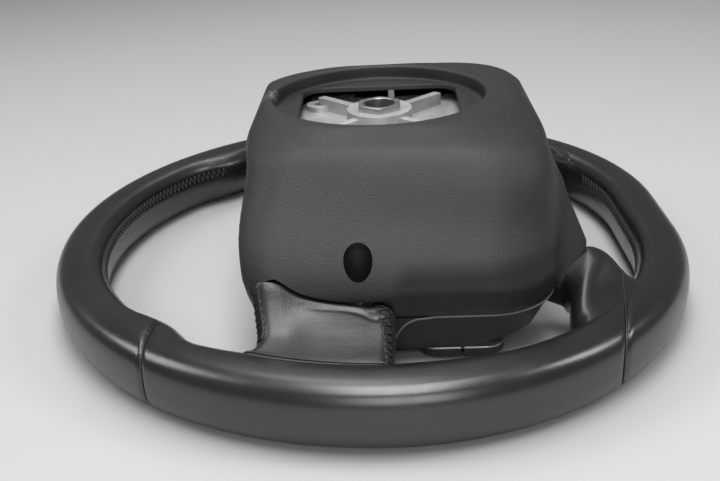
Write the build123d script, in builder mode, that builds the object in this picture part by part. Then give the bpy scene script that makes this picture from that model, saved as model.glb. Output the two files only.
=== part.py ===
from build123d import *
import os
from math import atan2, cos, degrees, hypot, radians, sin, tan

os.makedirs("parts", exist_ok=True)

# A car steering wheel in millimetres, face down as it rests on a table.
# +Z runs along the column axis to the rear, +Y points to twelve o'clock, +X to nine o'clock.
# The origin is the centre of the mouth of the column bore.

# Sides of round pieces that stay out of sight
small_sides = 8
can_sides = 24  # the inflator and its hole

# Rim
rim_radius = 171.5  # centreline of the upper half
rim_flat = 44.0  # straight run at six o'clock
rim_width = 27.0  # section across the rim
rim_depth = 33.5  # section along the column axis
rim_sides = 12  # flats round the section
hub_height = 100.0  # bore mouth above the front of the rim
top_seam_y = 108.0  # seam between the top panel and the side panels
low_seam_x = 82.0  # inner end of the seam between side and bottom panels
low_seam_y = -118.0
low_seam_slant = 11.0  # degrees, rising outwards

# Armature casting
core_width = 11.0  # rim core section
core_depth = 12.0
bond = 0.2  # gap between casting and foam
arm_thickness = 10.0  # measured along the column axis
side_arm_y = 28.5
side_arm_width = 26.0
side_knee_x = 62.0
side_elbow_x = 112.0
low_arm_width = 13.0
low_arm_angle = 55.0  # where the lower arms meet the rim, below the horizontal
low_knee = 20.0
low_elbow = 36.0  # distance of the elbow from the rim core
low_elbow_rise = 4.0
hub_length = 108.0  # along X
hub_width = 92.0  # along Y
hub_corner = 14.0
hub_plate = 7.0
hub_drop = 12.0  # rear face of the plate below the bore mouth
boss_radius = 18.0
boss_length = 30.0
rib_width = 5.0
rib_height = 7.0
lug_x = 33.0  # towards twelve o'clock
lug_y = 35.0
lug_radius = 8.0
lug_height = 3.0
lug_hole = 3.2

# Steel bush, a six-sided insert in the casting
bore_radius = 8.5
bush_radius = 13.0  # over its corners
bush_stand = 3.0  # bush above the casting's boss

# Rear cover: half length, twelve o'clock edge, six o'clock edge and the plan corners there, at each height
cover_wall = 2.6
cover_front_z = -71.0
cover_front = (115.0, 63.5, 84.0, 16.0, 34.0)
cover_roll_z = -66.0
cover_roll = (118.5, 65.0, 85.5, 16.0, 36.0)
cover_wide_z = -57.0
cover_wide = (122.0, 67.0, 86.0, 16.0, 38.0)
cover_foot_z = -50.0  # foot of the long slope
cover_foot = (120.5, 68.0, 86.0, 17.0, 40.0)
cover_brow_z = -7.0  # head of the long slope
cover_brow = (87.0, 68.8, 84.0, 23.0, 42.0)
cover_crease_z = 0.0
cover_crease = (78.8, 66.5, 81.0, 30.0, 46.0)
cover_roof_z = 3.2
cover_roof = (69.0, 64.2, 77.5, 37.0, 50.0)
cover_lip_z = 6.0  # rear plane, round the column opening
cover_lip = (61.0, 61.0, 73.5, 47.0, 56.0)
corner_steps = 5
opening_radius = 57.7
recess_depth = 8.0
lip_chamfer = 1.5
window_length = 82.0
window_width = 88.0
window_corner = 12.0
tool_hole_length = 11.2  # along X
tool_hole_width = 13.4
tool_hole_x = 114.6
tool_hole_y = 11.4
edge_gap = 0.8  # between the cover and the leather
wing_start = 54.0  # along the lower arms
wing_end = 77.5
wing_out = 13.0  # towards six o'clock
wing_in = 11.0  # towards the side gap
wing_root_rear_z = -14.0  # towards six o'clock
wing_root_side_z = -30.0  # towards the side gap
wing_rear_z = -51.0
wing_side_z = -68.0

# Leather spokes
spoke_low_y = -1.0  # three and nine o'clock spokes
spoke_high_y = 58.0
spoke_root_x = 120.5  # inner end, tucked under the cover
spoke_root_z = -60.0  # rear edge towards six o'clock
spoke_root_front_z = -88.0
spoke_tilt = 6.5  # rear edge higher towards twelve o'clock
spoke_drop = 14.0  # fall of the rear face from the cover to the rim's centreline
spoke_rim_front_z = -92.0
spoke_edge = 5.0
low_spoke_tuck = 5.0  # length of the five and seven o'clock spokes under the wing
low_spoke_mid = 94.0  # along the arm, where the spoke has come down to the rim
low_spoke_mid_in = 30.0
low_spoke_mid_out = 17.0
low_spoke_rim_in = 46.0
low_spoke_rim_out = 24.0
low_spoke_rear_z = -71.0
low_spoke_front_z = -92.0

# Cover screws, with six-sided heads
screw_radius = 2.4
screw_head_radius = 4.5
screw_head = 3.0
screw_clear = 0.1
cover_boss_radius = 5.5
cover_boss_inset = 6.5  # from the ends of the hub plate
cover_boss_y = -7.0

# Front of the wheel: pad and switch bezels
front_wall = 2.6
front_bowl_z = -86.0
front_bowl = (112.0, 61.5, 77.0, 16.0, 34.0)
front_turn_z = -93.0
front_turn = (107.0, 58.5, 70.5, 16.0, 34.0)
front_z = -96.0
front_face = (102.0, 55.5, 65.0, 16.0, 34.0)
pod_y = -3.0  # upper side of the switch bezels
pad_gap = 1.6
pad_travel = 2.5

# Airbag module
housing_length = 108.0
housing_width = 92.0
housing_y = -4.0
housing_wall = 2.0
housing_z = -58.0  # rear face
housing_skirt = 14.0
module_gap = 0.3
collar_wall = 2.8
collar_lap = 10.0  # collar over the skirt
collar_clear = 1.0  # between the collar and the pad's walls
inflator_radius = 31.0
inflator_length = 26.0  # behind its flange
inflator_flange = 3.0
flange_radius = 36.0  # over the flats of its eight sides
pack_gap = 4.0  # between the folded cushion and the skirt
pin_radius = 2.5
pin_clear = 0.3
pin_reach = 22.0  # behind the housing
post_radius = 8.0
post_length = 26.0  # in front of the hub plate
post_x = 45.0
post_low_y = -42.0
spring_radius = 6.5
spring_bore = 3.6
latch_wire = 2.4
latch_x = 64.0  # free end of the wire
latch_ear = 12.0
latch_lap = 8.0  # ear over the wire
latch_lug_x = 108.0
latch_lug = 10.0
latch_lug_stand = 3.55  # lug above the side arm

# Switches
key_low_y = -58.0
key_high_y = -16.0
key_split = 1.0
key_outer_x = 107.0
key_inner_x = 86.0
key_face_z = -98.5
key_rear_z = -90.0
key_corner = 9.0
key_steps = 5
key_edge = 1.2
key_gap = 0.4
key_travel = 1.2
dome_x = 93.0
dome_radius = 4.5
dome_top_radius = 3.2
dome_height = 3.6
board = 1.6
block = 9.0  # switch housing
block_outer_x = 100.0
switch_post_x = 74.0
switch_post = 7.0
switch_ear = 2.0

# Places that follow from the sizes above
rim_z = rim_depth / 2 - hub_height
low_radius = rim_radius - rim_flat / 2
plate_z = -hub_drop - hub_plate
arm_z = -hub_drop - arm_thickness / 2
arm_x = hub_length / 2 - hub_corner
arm_low_y = hub_corner - hub_width / 2
low_rim_x = rim_flat / 2 + low_radius * cos(radians(low_arm_angle))
low_rim_y = -low_radius * sin(radians(low_arm_angle))
low_run = hypot(low_rim_x - arm_x, low_rim_y - arm_low_y)
low_heading = degrees(atan2(low_rim_y - arm_low_y, low_rim_x - arm_x))
floor_z = cover_lip_z - recess_depth
post_z = plate_z - post_length
tray_z = housing_z - housing_wall
latch_z = tray_z - module_gap - latch_wire / 2
latch_end_x = latch_lug_x + latch_lug
lug_rear_z = latch_z - latch_wire / 2
side_elbow_z = lug_rear_z - latch_lug_stand - arm_thickness / 2
pad_rear_z = cover_front_z - pad_travel - module_gap * 2
pad_inside_z = front_z + front_wall
pod_x = housing_length / 2 + collar_wall + collar_clear + front_wall + pad_gap
board_z = key_rear_z + dome_height
block_z = board_z + board
post_places = ((-post_x, side_arm_y), (post_x, side_arm_y), (0, post_low_y))
cover_boss_x = hub_length / 2 - cover_boss_inset
boss_places = ((-cover_boss_x, cover_boss_y), (cover_boss_x, cover_boss_y))
lug_places = ((-lug_x, lug_y), (lug_x, lug_y))
key_mid_y = (key_low_y + key_high_y) / 2
key_rows = (
    ("upper", key_mid_y + key_split / 2, key_high_y),
    ("lower", key_low_y, key_mid_y - key_split / 2),
)
switch_post_places = (key_low_y + key_corner, key_high_y - key_corner)
sides = (("right", -1), ("left", 1))


def oval(width, depth, flats):
    """An oval section made of equal turns."""
    turns = [radians(360 * step / flats) for step in range(flats)]
    with BuildSketch() as section:
        with BuildLine():
            Polyline(*[(width / 2 * cos(t), depth / 2 * sin(t)) for t in turns], close=True)
        make_face()
    return section.sketch


def bar_section(width, depth):
    """A plain rectangular section."""
    with BuildSketch() as section:
        Rectangle(width, depth)
    return section.sketch


def rim_run(section):
    """A section, centred on the rim's centreline, carried once round the rim."""
    with BuildPart() as run:
        with BuildSketch(Plane.XZ):
            with Locations((rim_radius, rim_z)):
                add(section)
        revolve(axis=Axis.Z, revolution_arc=180)
        for side in (-1, 1):
            with BuildSketch(Plane.XZ):
                with Locations((side * rim_radius, rim_z)):
                    add(section)
            revolve(axis=Axis((side * rim_flat / 2, 0, 0), (0, 0, -side)), revolution_arc=90)
        with BuildSketch(Plane.YZ.offset(-rim_flat / 2)):
            with Locations((-low_radius, rim_z)):
                add(section)
        extrude(amount=rim_flat)
    return run.part


def arm(x, y, heading, stations, width, thickness):
    """A cast arm: stations are distances along the heading with their heights."""
    along = (cos(radians(heading)), sin(radians(heading)), 0)
    rear = [(run, z + thickness / 2) for run, z in stations]
    front = [(run, z - thickness / 2) for run, z in stations]
    with BuildPart() as bar:
        with BuildSketch(Plane(origin=(x, y, 0), x_dir=along, z_dir=(along[1], -along[0], 0))):
            with BuildLine():
                Polyline(*rear, *reversed(front), close=True)
            make_face()
        extrude(amount=width / 2, both=True)
    return bar.part


def arms(grow):
    """The four arms of the casting, grown on their flanks."""
    side_stations = [
        (0, arm_z),
        (side_knee_x - arm_x, arm_z),
        (side_elbow_x - arm_x, side_elbow_z),
        (rim_radius - arm_x, rim_z),
    ]
    low_stations = [
        (0, arm_z),
        (low_knee, arm_z),
        (low_run - low_elbow, rim_z + low_elbow_rise),
        (low_run, rim_z),
    ]
    thick = arm_thickness + 2 * grow
    with BuildPart() as set_of_arms:
        for side in (-1, 1):
            out = 90 - 90 * side
            down = 90 + (low_heading - 90) * side
            add(arm(side * arm_x, side_arm_y, out, side_stations, side_arm_width + 2 * grow, thick))
            add(arm(side * arm_x, arm_low_y, down, low_stations, low_arm_width + 2 * grow, thick))
    return set_of_arms.part


def across_low_arm(side, distance):
    """The plane across a lower arm, its x axis towards six o'clock and its y axis to the rear."""
    along = Vector(side * cos(radians(low_heading)), sin(radians(low_heading)), 0)
    start = Vector(side * arm_x, arm_low_y, 0)
    across = (along.Y * side, -along.X * side, 0)
    return Plane(origin=start + along * distance, x_dir=across, z_dir=along * -side)


def flat_faces(corners):
    """One flat face through four corners, or two where they don't lie in a plane."""
    a, b, c, d = [Vector(*corner) for corner in corners]
    off_plane = abs((b - a).cross(c - a).dot(d - a))
    if off_plane < 1e-6:
        return [Face(Wire.make_polygon([a, b, c, d]))]
    return [Face(Wire.make_polygon([a, b, c])), Face(Wire.make_polygon([a, c, d]))]


def bridge(*sections):
    """A solid through sections with equally many corners, with flat faces between them."""
    faces = [Face(Wire.make_polygon(sections[0])), Face(Wire.make_polygon(sections[-1]))]
    for near, far in zip(sections, sections[1:]):
        for i in range(len(near)):
            faces += flat_faces((near[i - 1], near[i], far[i], far[i - 1]))
    return Solid(Shell(faces))


def quad(plane, inner, inner_z, outer, outer_z, base_z):
    """Four corners on a plane: two sides with their rear heights over one front height."""
    corners = ((inner, base_z), (outer, base_z), (outer, outer_z), (inner, inner_z))
    return [plane.from_local_coords((x, z, 0)) for x, z in corners]


def side_spoke(side):
    """The leather spoke at three or nine o'clock, from under the cover to the rim."""
    sections = []
    root = (spoke_root_x, spoke_root_z, spoke_root_front_z)
    end = (rim_radius, spoke_root_z - spoke_drop, spoke_rim_front_z)
    for x, rear, front in (root, end):
        high = rear + spoke_tilt
        edge = spoke_edge
        sections.append(
            [
                (side * x, spoke_low_y + edge, front),
                (side * x, spoke_high_y - edge, front),
                (side * x, spoke_high_y, front + edge),
                (side * x, spoke_high_y, high - edge),
                (side * x, spoke_high_y - edge, high),
                (side * x, spoke_low_y + edge, rear),
                (side * x, spoke_low_y, rear - edge),
                (side * x, spoke_low_y, front + edge),
            ]
        )
    return bridge(*sections)


def low_spoke(side):
    """The leather spoke at five or seven o'clock, from under the wing to the rim."""
    skin = cover_wall + edge_gap
    inner = skin - wing_in
    outer = wing_out - skin
    front = low_spoke_front_z
    rear = low_spoke_rear_z
    root_plane = across_low_arm(side, wing_end - low_spoke_tuck)
    mouth_plane = across_low_arm(side, wing_end + edge_gap)
    mid_plane = across_low_arm(side, low_spoke_mid)
    rim_plane = across_low_arm(side, low_run)
    return bridge(
        quad(root_plane, inner, wing_side_z - skin, outer, wing_rear_z - skin, front),
        quad(mouth_plane, inner, wing_side_z - skin, outer, wing_rear_z - skin, front),
        quad(mid_plane, -low_spoke_mid_in, rear, low_spoke_mid_out, rear, front),
        quad(rim_plane, -low_spoke_rim_in, rear, low_spoke_rim_out, rear, front),
    )


def side_panel(side):
    """The space of a side panel, between the top seam and the slanted lower seam."""
    far = 2 * rim_radius
    seam_far_y = low_seam_y + (far - low_seam_x) * tan(radians(low_seam_slant))
    with BuildPart() as space:
        with BuildSketch(Plane.XY.offset(-hub_height)):
            with BuildLine():
                Polyline(
                    (0, top_seam_y),
                    (side * far, top_seam_y),
                    (side * far, seam_far_y),
                    (side * low_seam_x, low_seam_y),
                    (0, low_seam_y),
                    close=True,
                )
            make_face()
        extrude(amount=hub_height)
    return space.part


def plan(z, size, inset):
    """The corners of one level of a moulded form, with stepped round corners."""
    half, high, low, corner, low_corner = [length - inset for length in size]
    points = []
    for x, y, radius, start in (
        (half, high, corner, 0),
        (-half, high, corner, 90),
        (-half, -low, low_corner, 180),
        (half, -low, low_corner, 270),
    ):
        for step in range(corner_steps + 1):
            turn = radians(start + 90 * step / corner_steps)
            centre_x = x - radius if x > 0 else x + radius
            centre_y = y - radius if y > 0 else y + radius
            points.append((centre_x + radius * cos(turn), centre_y + radius * sin(turn), z))
    return points


def cover_form(inset):
    """The cover's outer form with its two wings, or its inside when inset by the wall."""
    body = bridge(
        plan(cover_front_z, cover_front, inset),
        plan(cover_roll_z, cover_roll, inset),
        plan(cover_wide_z, cover_wide, inset),
        plan(cover_foot_z, cover_foot, inset),
        plan(cover_brow_z - inset, cover_brow, inset),
        plan(cover_crease_z - inset, cover_crease, inset),
        plan(cover_roof_z - inset, cover_roof, inset),
        plan(cover_lip_z - inset, cover_lip, inset),
    )
    inner = inset - wing_in
    outer = wing_out - inset
    root_side_z = wing_root_side_z - inset
    root_rear_z = wing_root_rear_z - inset
    with BuildPart() as form:
        add(body)
        for side in (-1, 1):
            root = across_low_arm(side, wing_start)
            tip = across_low_arm(side, wing_end)
            add(
                bridge(
                    quad(root, inner, root_side_z, outer, root_rear_z, cover_front_z),
                    quad(tip, inner, wing_side_z - inset, outer, wing_rear_z - inset, cover_front_z),
                )
            )
    return form.part


def front_form(inset):
    """The bowl in front of the cover, from which the pad and the switch bezels are cut."""
    with BuildPart() as form:
        add(
            bridge(
                plan(front_z + inset, front_face, inset),
                plan(front_turn_z + inset, front_turn, inset),
                plan(front_bowl_z, front_bowl, inset),
                plan(cover_front_z, cover_front, inset),
            )
        )
    return form.part


def ring(x, y, z, radius, count):
    """The corners of a level regular polygon."""
    turns = [radians(360 * (step + 0.5) / count) for step in range(count)]
    return [(x + radius * cos(t), y + radius * sin(t), z) for t in turns]


def block_between(low, high):
    """A plain block between any two opposite corners."""
    size = [abs(b - a) for a, b in zip(low, high)]
    centre = [(a + b) / 2 for a, b in zip(low, high)]
    with BuildPart() as solid:
        with Locations(tuple(centre)):
            Box(*size)
    return solid.part


def key_plan(side, near_y, far_y, z, inset):
    """The corners of one level of a key, with a stepped round corner at its outer far end."""
    up = 1 if far_y > near_y else -1
    inner = key_inner_x + inset
    outer = key_outer_x - inset
    near = near_y + up * inset
    far = far_y - up * inset
    radius = key_corner - inset
    turns = [radians(90 * step / key_steps) for step in range(key_steps + 1)]
    end = [(outer - radius + radius * cos(t), far - up * (radius - radius * sin(t))) for t in turns]
    return [(side * x, y, z) for x, y in [(inner, near), (outer, near), *end, (inner, far)]]


def pod_space(side, grow):
    """The space of a switch bezel, in the lower outer part of the front form."""
    inner = side * (pod_x - grow)
    outer = side * (pod_x + rim_radius)
    return block_between((inner, pod_y + grow, -hub_height), (outer, -rim_radius, cover_front_z))


def save(piece, name):
    piece.part.label = name
    export_step(piece.part, f"parts/{name}.step")


# Armature: one casting with the rim core, four arms and the hub
with BuildPart() as armature:
    add(rim_run(bar_section(core_width, core_depth)))
    add(arms(0))
    with BuildSketch(Plane.XY.offset(plate_z)):
        RectangleRounded(hub_length, hub_width, hub_corner)
    extrude(amount=hub_plate)
    with BuildSketch(Plane.XY.offset(-boss_length)):
        Circle(boss_radius)
    extrude(amount=boss_length - bush_stand)
    with BuildSketch(Plane.XY.offset(-hub_drop)):
        for turn in (45, 135):
            Rectangle(2 * hypot(lug_x, lug_y), rib_width, rotation=turn)
    extrude(amount=rib_height)
    with BuildSketch(Plane.XY.offset(-hub_drop)):
        with Locations(*lug_places):
            Circle(lug_radius)
    extrude(amount=lug_height)
    with BuildSketch(Plane.XY.offset(post_z)):
        with Locations(*post_places):
            RegularPolygon(post_radius, small_sides)
    extrude(amount=post_length)
    for side in (-1, 1):
        low = (side * latch_lug_x, tool_hole_y - latch_wire, side_elbow_z)
        add(block_between(low, (side * latch_end_x, side_arm_y, lug_rear_z)))
    with BuildSketch(Plane.XY.offset(-boss_length)):
        RegularPolygon(bush_radius, 6)
    extrude(amount=boss_length, mode=Mode.SUBTRACT)
    with BuildSketch(Plane.XY.offset(plate_z)):
        with Locations(*lug_places):
            Circle(lug_hole)
        with Locations(*boss_places):
            RegularPolygon(screw_radius + screw_clear, small_sides)
    extrude(amount=hub_plate + lug_height, mode=Mode.SUBTRACT)
    with BuildSketch(Plane.XY.offset(post_z)):
        with Locations(*post_places):
            RegularPolygon(pin_radius + pin_clear, small_sides)
    extrude(amount=post_length, mode=Mode.SUBTRACT)
save(armature, "armature")

# Steel bush with the column bore
with BuildPart() as hub_insert:
    with BuildSketch(Plane.XY.offset(-boss_length)):
        RegularPolygon(bush_radius, 6)
        Circle(bore_radius, mode=Mode.SUBTRACT)
    extrude(amount=boss_length)
save(hub_insert, "hub_insert")

# Leather over foam: the whole wrap first, then its four sewn panels
with BuildPart() as wrap:
    add(rim_run(oval(rim_width, rim_depth, rim_sides)))
    for side in (-1, 1):
        add(side_spoke(side))
        add(low_spoke(side))
    add(rim_run(bar_section(core_width + 2 * bond, core_depth)), mode=Mode.SUBTRACT)
    add(arms(bond), mode=Mode.SUBTRACT)

with BuildPart() as leather_top:
    add(wrap.part)
    split(bisect_by=Plane.XZ.offset(-top_seam_y), keep=Keep.BOTTOM)
save(leather_top, "leather_top")

with BuildPart() as leather_bottom:
    add(wrap.part)
    split(bisect_by=Plane.XZ.offset(-top_seam_y), keep=Keep.TOP)
    for name, side in sides:
        add(side_panel(side), mode=Mode.SUBTRACT)
save(leather_bottom, "leather_bottom")

for name, side in sides:
    with BuildPart() as leather_side:
        add(wrap.part)
        add(side_panel(side), mode=Mode.INTERSECT)
    save(leather_side, f"leather_{name}")

# Rear cover: a moulded shell with the column recess, tool holes, spoke openings and wings
with BuildPart() as rear_cover:
    add(cover_form(0))
    add(cover_form(cover_wall), mode=Mode.SUBTRACT)
    for side in (-1, 1):
        inner = cover_wall - wing_in
        outer = wing_out - cover_wall
        depth = wing_side_z - cover_wall
        near = across_low_arm(side, wing_end - cover_wall)
        past = across_low_arm(side, wing_end + cover_wall)
        mouth = bridge(
            quad(near, inner, depth, outer, wing_rear_z - cover_wall, cover_front_z),
            quad(past, inner, depth, outer, wing_rear_z - cover_wall, cover_front_z),
        )
        add(mouth, mode=Mode.SUBTRACT)
    with BuildSketch(Plane.XY.offset(floor_z - cover_wall)):
        Circle(opening_radius + cover_wall)
    extrude(amount=recess_depth)
    with BuildSketch(Plane.XY.offset(floor_z - cover_wall)):
        with Locations(*boss_places):
            RegularPolygon(cover_boss_radius, small_sides)
    extrude(amount=-(floor_z - cover_wall + hub_drop))
    with BuildSketch(Plane.XY.offset(floor_z)):
        Circle(opening_radius)
    extrude(amount=2 * recess_depth, mode=Mode.SUBTRACT)
    with BuildSketch(Plane.XY.offset(floor_z - cover_wall)):
        RectangleRounded(window_length, window_width, window_corner)
    extrude(amount=recess_depth, mode=Mode.SUBTRACT)
    with BuildSketch(Plane.XY.offset(-hub_drop)):
        with Locations(*boss_places):
            RegularPolygon(screw_radius + screw_clear, small_sides)
    extrude(amount=hub_drop + floor_z - cover_wall, mode=Mode.SUBTRACT)
    with BuildSketch(Plane.XY.offset(cover_front_z)):
        with Locations((-tool_hole_x, tool_hole_y), (tool_hole_x, tool_hole_y)):
            Ellipse(tool_hole_length / 2, tool_hole_width / 2)
    extrude(amount=-cover_front_z, mode=Mode.SUBTRACT)
    for side in (-1, 1):
        near = Plane.YZ.offset(side * cover_crease[0])
        past = Plane.YZ.offset(side * spoke_root_x + side * cover_crease[0])
        low = spoke_low_y - edge_gap
        high = spoke_high_y + edge_gap
        rear = spoke_root_z + edge_gap
        add(
            bridge(
                quad(near, low, rear, high, rear + spoke_tilt, cover_front_z - edge_gap),
                quad(past, low, rear, high, rear + spoke_tilt, cover_front_z - edge_gap),
            ),
            mode=Mode.SUBTRACT,
        )
    chamfer(rear_cover.edges().filter_by(GeomType.CIRCLE).group_by(Axis.Z)[-1], lip_chamfer)
save(rear_cover, "rear_cover")

# Cover screws, from the front through the hub plate into the cover's bosses
with BuildPart() as cover_screws:
    with BuildSketch(Plane.XY.offset(plate_z - screw_head)):
        with Locations(*boss_places):
            RegularPolygon(screw_head_radius, 6)
    extrude(amount=screw_head)
    with BuildSketch(Plane.XY.offset(plate_z)):
        with Locations(*boss_places):
            RegularPolygon(screw_radius, small_sides)
    extrude(amount=floor_z - cover_wall - plate_z)
save(cover_screws, "cover_screws")

# Switch bezels, switches and keys on both sides
for name, side in sides:
    with BuildPart() as bezel_space:
        add(front_form(front_wall))
        add(pod_space(side, -front_wall), mode=Mode.INTERSECT)

    with BuildPart() as switch_bezel:
        add(front_form(0))
        add(pod_space(side, 0), mode=Mode.INTERSECT)
        add(bezel_space.part, mode=Mode.SUBTRACT)
        with BuildSketch(Plane.XY.offset(pad_inside_z)):
            with Locations(*[(side * switch_post_x, y) for y in switch_post_places]):
                Rectangle(switch_post, switch_post)
        extrude(amount=block_z - pad_inside_z)
        window_low = (side * (key_inner_x - key_gap), key_low_y - key_gap, -hub_height)
        window_rear_z = key_rear_z + key_travel + key_gap
        window_high = (side * (key_outer_x + key_gap), key_high_y + key_gap, window_rear_z)
        add(block_between(window_low, window_high), mode=Mode.SUBTRACT)
        add(arms(edge_gap), mode=Mode.SUBTRACT)
    save(switch_bezel, f"switch_bezel_{name}")

    with BuildPart() as switch_housing:
        block_high = (side * block_outer_x, key_high_y, block_z + block)
        add(block_between((side * key_inner_x, key_low_y, block_z), block_high))
        for y in switch_post_places:
            ear_low = (side * (switch_post_x - switch_post / 2), y - switch_post / 2, block_z)
            ear_high = (side * key_inner_x, y + switch_post / 2, block_z + switch_ear)
            add(block_between(ear_low, ear_high))
    save(switch_housing, f"switch_housing_{name}")

    with BuildPart() as switch_board:
        low = (side * key_inner_x, key_low_y, board_z)
        add(block_between(low, (side * block_outer_x, key_high_y, block_z)))
    save(switch_board, f"switch_board_{name}")

    for row, low_y, high_y in key_rows:
        far_y = high_y if row == "upper" else low_y
        near_y = low_y if row == "upper" else high_y
        with BuildPart() as key:
            add(
                bridge(
                    key_plan(side, near_y, far_y, key_face_z, key_edge),
                    key_plan(side, near_y, far_y, key_face_z + key_edge, 0),
                    key_plan(side, near_y, far_y, key_rear_z, 0),
                )
            )
        save(key, f"key_{name}_{row}")

        middle = (side * dome_x, (low_y + high_y) / 2)
        with BuildPart() as dome:
            add(
                bridge(
                    ring(*middle, key_rear_z, dome_top_radius, small_sides),
                    ring(*middle, board_z, dome_radius, small_sides),
                )
            )
        save(dome, f"dome_{name}_{row}")

# Horn pad: the rest of the front form, with walls beside the bezels and a collar for the module
with BuildPart() as pad_space:
    add(front_form(front_wall))
    for name, side in sides:
        add(pod_space(side, pad_gap + front_wall), mode=Mode.SUBTRACT)

with BuildPart() as airbag_cover:
    add(front_form(0))
    add(pad_space.part, mode=Mode.SUBTRACT)
    for name, side in sides:
        add(pod_space(side, pad_gap), mode=Mode.SUBTRACT)
    split(bisect_by=Plane.XY.offset(pad_rear_z), keep=Keep.BOTTOM)
    with BuildSketch(Plane.XY.offset(pad_inside_z)):
        with Locations((0, housing_y)):
            Rectangle(housing_length + 2 * collar_wall, housing_width + 2 * collar_wall)
            Rectangle(housing_length, housing_width, mode=Mode.SUBTRACT)
    extrude(amount=tray_z - housing_skirt + collar_lap - pad_inside_z)
    add(arms(pad_travel + module_gap), mode=Mode.SUBTRACT)
save(airbag_cover, "airbag_cover")

# Module housing: a tray with a skirt, and ears that catch behind the release springs
with BuildPart() as airbag_housing:
    with BuildSketch(Plane.XY.offset(tray_z - housing_skirt)):
        with Locations((0, housing_y)):
            Rectangle(housing_length, housing_width)
    extrude(amount=housing_skirt + housing_wall)
    with BuildSketch(Plane.XY.offset(tray_z - housing_skirt)):
        with Locations((0, housing_y)):
            Rectangle(housing_length - 2 * housing_wall, housing_width - 2 * housing_wall)
    extrude(amount=housing_skirt, mode=Mode.SUBTRACT)
    for name, side in sides:
        ear_low = (side * housing_length / 2, tool_hole_y - latch_ear / 2, tray_z)
        ear_high = (side * (latch_x + latch_lap), tool_hole_y + latch_ear / 2, housing_z)
        add(block_between(ear_low, ear_high))
    with BuildSketch(Plane.XY.offset(tray_z)):
        RegularPolygon(inflator_radius + module_gap, can_sides)
    extrude(amount=housing_wall, mode=Mode.SUBTRACT)
save(airbag_housing, "airbag_housing")

# Inflator with an eight-sided flange against the tray
with BuildPart() as inflator:
    with BuildSketch(Plane.XY.offset(tray_z - inflator_flange)):
        RegularPolygon(flange_radius, small_sides, major_radius=False)
    extrude(amount=inflator_flange)
    with BuildSketch(Plane.XY.offset(tray_z)):
        RegularPolygon(inflator_radius, can_sides)
    extrude(amount=inflator_length)
save(inflator, "inflator")

# Folded cushion between the inflator and the pad
with BuildPart() as cushion_pack:
    with BuildSketch(Plane.XY.offset(pad_inside_z)):
        with Locations((0, housing_y)):
            margin = 2 * (housing_wall + pack_gap)
            Rectangle(housing_length - margin, housing_width - margin)
    extrude(amount=tray_z - inflator_flange - pad_inside_z)
    chamfer(cushion_pack.edges().filter_by(Axis.Z), pack_gap)
save(cushion_pack, "cushion_pack")

# Guide pins, welded to the housing and running in the casting's posts, with the horn springs round them
with BuildPart() as guide_pins:
    with BuildSketch(Plane.XY.offset(housing_z)):
        with Locations(*post_places):
            RegularPolygon(pin_radius, small_sides)
    extrude(amount=pin_reach)
save(guide_pins, "guide_pins")

with BuildPart() as horn_springs:
    with BuildSketch(Plane.XY.offset(housing_z)):
        with Locations(*post_places):
            RegularPolygon(spring_radius, small_sides)
            RegularPolygon(spring_bore, small_sides, mode=Mode.SUBTRACT)
    extrude(amount=post_z - housing_z)
save(horn_springs, "horn_springs")

# Release springs: straight wires on the casting's lugs, behind the tool holes
with BuildPart() as release_springs:
    for name, side in sides:
        with BuildSketch(Plane.YZ.offset(side * latch_x)):
            with Locations((tool_hole_y, latch_z)):
                RegularPolygon(latch_wire / 2, 6, major_radius=False)
        extrude(amount=side * (latch_end_x - latch_x))
save(release_springs, "release_springs")
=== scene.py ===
from math import acos, atan2, copysign, cos, exp, hypot, pi, radians, sin, sqrt

import bmesh
import bpy
from mathutils import Matrix, Vector


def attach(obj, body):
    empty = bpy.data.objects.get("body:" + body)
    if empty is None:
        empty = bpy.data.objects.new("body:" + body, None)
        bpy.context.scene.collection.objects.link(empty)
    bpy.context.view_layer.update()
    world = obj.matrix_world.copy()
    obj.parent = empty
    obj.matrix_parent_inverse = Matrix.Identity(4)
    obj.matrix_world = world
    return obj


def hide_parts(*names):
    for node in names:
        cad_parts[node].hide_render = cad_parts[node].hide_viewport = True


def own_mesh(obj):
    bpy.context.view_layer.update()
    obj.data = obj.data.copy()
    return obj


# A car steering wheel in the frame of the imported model.
# +Z runs along the column axis to the rear, +Y points to twelve o'clock, +X to nine o'clock.
# Sizes of the wheel are in millimetres. The camera, the floor and the lamps are in metres.

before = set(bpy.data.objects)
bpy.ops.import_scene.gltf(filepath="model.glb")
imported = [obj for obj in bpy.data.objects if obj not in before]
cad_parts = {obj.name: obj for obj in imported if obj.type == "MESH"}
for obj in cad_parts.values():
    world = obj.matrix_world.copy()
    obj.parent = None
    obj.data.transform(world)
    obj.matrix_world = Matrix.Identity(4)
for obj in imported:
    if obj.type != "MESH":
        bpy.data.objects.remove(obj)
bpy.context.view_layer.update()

MM = 0.001
SIDES = (("right", -1), ("left", 1))
WHEEL_FRONT = -100.0

# Photograph: width of the picture in pixels, and the fitted camera
PHOTO_WIDTH = 720
FOCAL_PIXELS = 937.0
SENSOR_WIDTH = 36.0
CLIP_START = 0.01
CAMERA_PLACE = (-500 * MM, -4.7 * MM, 145.3 * MM)
CAMERA_YAW = -0.038
CAMERA_PITCH = 0.428
CAMERA_ROLL = -0.050

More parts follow.
